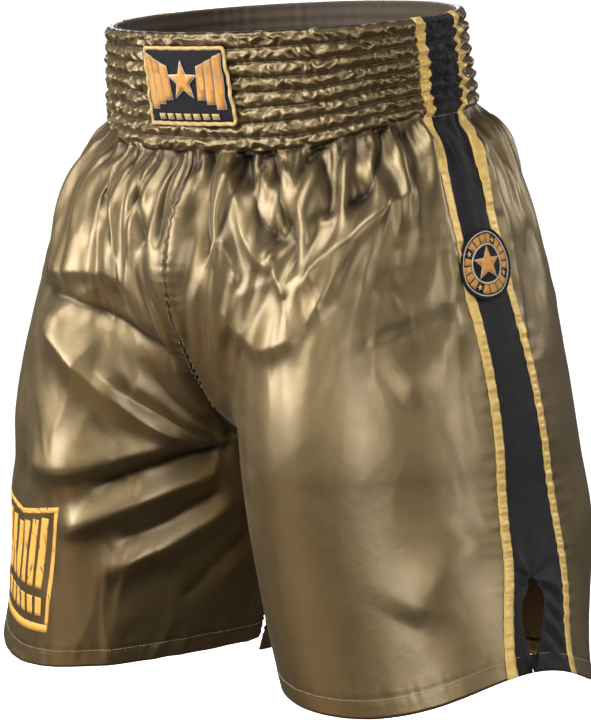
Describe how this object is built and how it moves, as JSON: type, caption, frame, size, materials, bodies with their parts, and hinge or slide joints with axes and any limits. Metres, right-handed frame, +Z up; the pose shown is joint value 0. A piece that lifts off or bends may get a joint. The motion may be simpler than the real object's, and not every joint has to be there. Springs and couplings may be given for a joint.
{
  "type": "boxing shorts",
  "caption": "Knee-length satin boxing shorts with a shirred elastic waistband, dark side stripes edged with gold tape, side vents, badges and a leg print.",
  "frame": {"origin": "middle of the waist opening, in the plane of its edge", "axes": "+Z up along the wearer, -Y towards the front, +X towards the wearer's left"},
  "size_m": [0.589, 0.3139, 0.5625],
  "materials": {
    "satin": "olive-bronze polyester satin, bright sheen",
    "stripe": "black fine-knit polyester, matt with a faint rib",
    "tape": "gold satin tape, soft sheen",
    "lining": "dark olive polyester, the satin's matt side",
    "elastic": "off-white braided elastic, matt",
    "badge": "black embroidered twill with gold thread",
    "print": "gold-orange transfer print, worn"
  },
  "bodies": {
    "root": {"front_panel_left": "satin", "back_panel_left": "satin", "side_stripe_left": "stripe", "front_tape_left": "tape", "rear_tape_left": "tape", "front_panel_right": "satin", "back_panel_right": "satin", "side_stripe_right": "stripe", "front_tape_right": "tape", "rear_tape_right": "tape", "waistband_lining": "lining", "elastic_1": "elastic", "elastic_2": "elastic", "elastic_3": "elastic", "elastic_4": "elastic", "elastic_5": "elastic", "elastic_6": "elastic", "elastic_7": "elastic", "elastic_8": "elastic", "front_badge": "badge", "side_badge": "badge", "leg_print_right": "print"}
  },
  "joints": []
}
